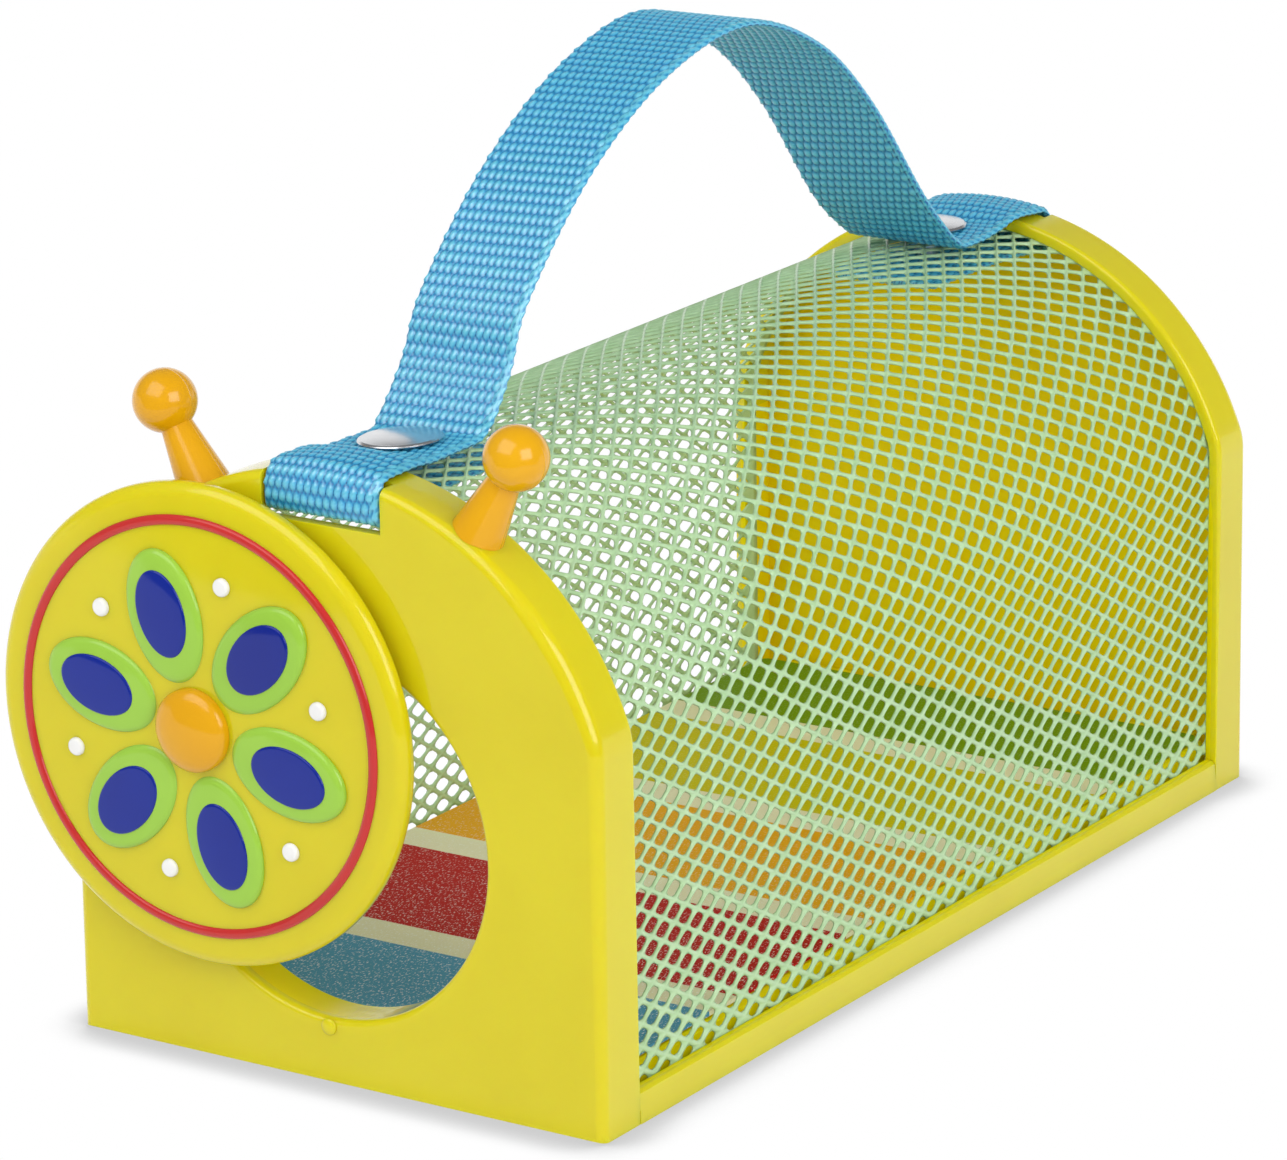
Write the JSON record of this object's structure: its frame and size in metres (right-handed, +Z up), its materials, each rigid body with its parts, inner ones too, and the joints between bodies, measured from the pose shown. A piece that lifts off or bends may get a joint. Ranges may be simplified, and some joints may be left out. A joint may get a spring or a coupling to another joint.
{
  "type": "bug house",
  "caption": "Carry-along bug house: arched metal screen between moulded end panels, striped floor, round swinging door and webbing handle.",
  "frame": {"origin": "middle of the base's underside, on the surface it stands on", "axes": "+Z up, -Y towards the door end, +X to the right seen from the door end"},
  "size_m": [0.1176, 0.2314, 0.1614],
  "materials": {
    "yellow_plastic": "gloss",
    "orange_plastic": "gloss",
    "coated_screen": "satin coating",
    "webbing": "woven",
    "floor_sheet": "fine embossed texture",
    "steel": "bright"
  },
  "bodies": {
    "house": {"front_panel": "yellow_plastic", "rear_panel": "yellow_plastic", "base_tray": "yellow_plastic", "floor_insert": "floor_sheet", "mesh_screen": "coated_screen", "door_pivot_spacer": "yellow_plastic", "antenna_left": "orange_plastic", "antenna_right": "orange_plastic", "handle_strap": "webbing", "front_rivet": "steel", "front_rivet_washer": "steel", "rear_rivet": "steel", "rear_rivet_washer": "steel", "base_screw_1": "steel", "base_screw_2": "steel", "base_screw_3": "steel", "base_screw_4": "steel"},
    "door": {"door": "yellow_plastic", "door_pivot_screw": "steel"}
  },
  "joints": [
    {"name": "door_swing", "type": "hinge", "parent": "house", "child": "door", "pos_m": [-0.0012, -0.1105, 0.0823], "axis": [0, 1, 0], "range_deg": [-44, 76]}
  ]
}
